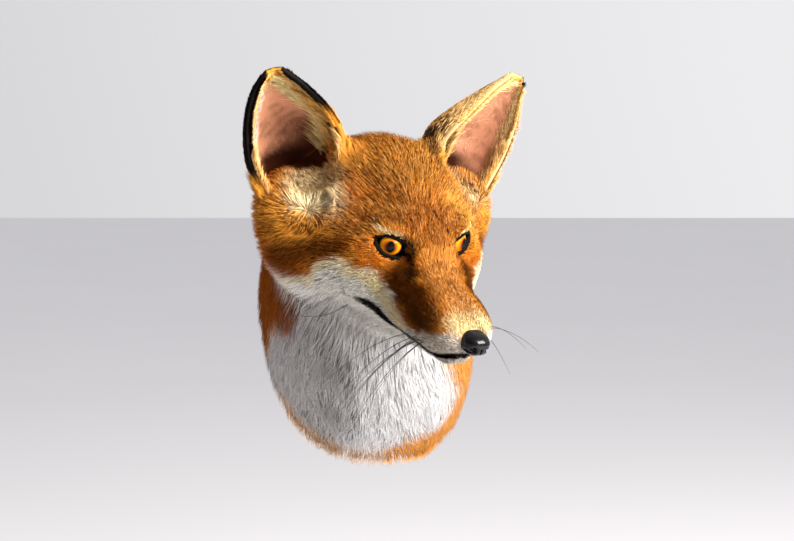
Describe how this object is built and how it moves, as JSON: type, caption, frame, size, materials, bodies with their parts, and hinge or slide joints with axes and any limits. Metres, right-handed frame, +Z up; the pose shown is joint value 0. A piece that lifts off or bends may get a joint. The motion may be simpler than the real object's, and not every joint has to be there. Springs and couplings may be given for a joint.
{
  "type": "taxidermy fox head",
  "caption": "Wall-mounted taxidermy fox head and neck, head turned and lowered, ears pricked, glass eyes, oval backboard with a recessed hanger.",
  "frame": {"origin": "centre of the backboard's back face, on the wall plane", "axes": "+Y is the wall side, the outward normal of the backboard's back face; +Z up; +X to the fox's left side of the mount"},
  "size_m": [0.1664, 0.1816, 0.2503],
  "materials": {
    "fur_russet": "soft fur",
    "fur_white": "soft fur",
    "fur_cream": "short fur",
    "nose_leather": "glossy, finely pebbled",
    "eye_glass": "polished, painted from behind",
    "board_wood": "raw plywood",
    "hanger_steel": "zinc plated"
  },
  "bodies": {
    "root": {"head": "fur_russet", "muzzle": "fur_russet", "lower_jaw": "fur_white", "neck": "fur_white", "ear_right": "fur_cream", "ear_left": "fur_cream", "nose": "nose_leather", "eye_right": "eye_glass", "eye_left": "eye_glass", "backboard": "board_wood", "hanger": "hanger_steel", "brad_right": "hanger_steel", "brad_left": "hanger_steel"}
  },
  "joints": []
}
